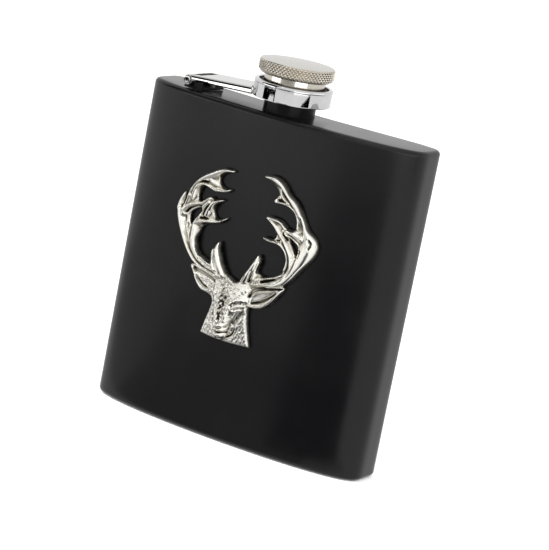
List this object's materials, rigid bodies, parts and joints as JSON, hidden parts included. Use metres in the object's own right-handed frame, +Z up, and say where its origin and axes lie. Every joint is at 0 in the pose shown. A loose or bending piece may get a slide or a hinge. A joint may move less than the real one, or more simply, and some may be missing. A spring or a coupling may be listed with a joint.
{
  "type": "hip flask",
  "caption": "Curved flat hip flask in black powder-coated steel with a hinged captive screw cap, a knurled nickel knob and a cast pewter stag's-head badge on the front.",
  "frame": {"origin": "centre of the flat base, on the surface that the flask stands on, under the axis of the neck", "axes": "+Z up along the neck's axis; -Y is the front, which bulges and carries the badge; +X across the width, with the cap's hinge on the -X side"},
  "size_m": [0.095, 0.0274, 0.1167],
  "materials": {
    "body_coat": "matte black powder coat with a fine grain",
    "plate_coat": "matte black powder coat with a fine grain",
    "neck_coat": "satin black coat",
    "bracket_coat": "the body's black coat, over the welded bracket",
    "hinge_chrome": "polished chrome with fine scuffs",
    "pin_chrome": "polished chrome, dulled in the bore",
    "ring_chrome": "mirror-polished chrome",
    "clip_steel": "spring steel",
    "stem_nickel": "polished stainless steel",
    "seal_silicone": "translucent white silicone",
    "knob_nickel": "satin nickel, knurled on the edge",
    "badge_pewter": "cast pewter, polished on the high parts and dark in the recesses",
    "pad_adhesive": "dry adhesive film"
  },
  "bodies": {
    "flask": {"body_wrap": "body_coat", "top_plate": "plate_coat", "base_plate": "plate_coat", "neck_spout": "neck_coat", "hinge_bracket": "bracket_coat", "hinge_pin": "pin_chrome", "stag_badge": "badge_pewter", "badge_pad": "pad_adhesive"},
    "arm": {"hinge_arm": "hinge_chrome", "swivel_ring": "ring_chrome"},
    "clip": {"retaining_clip": "clip_steel"},
    "cap": {"threaded_insert": "stem_nickel", "cap_seal": "seal_silicone", "cap_knob": "knob_nickel"}
  },
  "joints": [
    {"name": "arm_swing", "type": "hinge", "parent": "flask", "child": "arm", "pos_m": [-0.032, 0, 0.1038], "axis": [0, -1, 0], "range_deg": [0, 170]},
    {"name": "cap_rise", "type": "slide", "parent": "arm", "child": "clip", "axis": [0, 0, 1], "range_m": [0, 0.00241]},
    {"name": "cap_turn", "type": "hinge", "parent": "clip", "child": "cap", "pos_m": [0, 0, 0.107], "axis": [0, 0, 1], "range_deg": [0, 432]}
  ],
  "couplings": [
    {"joint": "cap_rise", "follows": "cap_turn", "m_per_rad": 0.00031831}
  ]
}
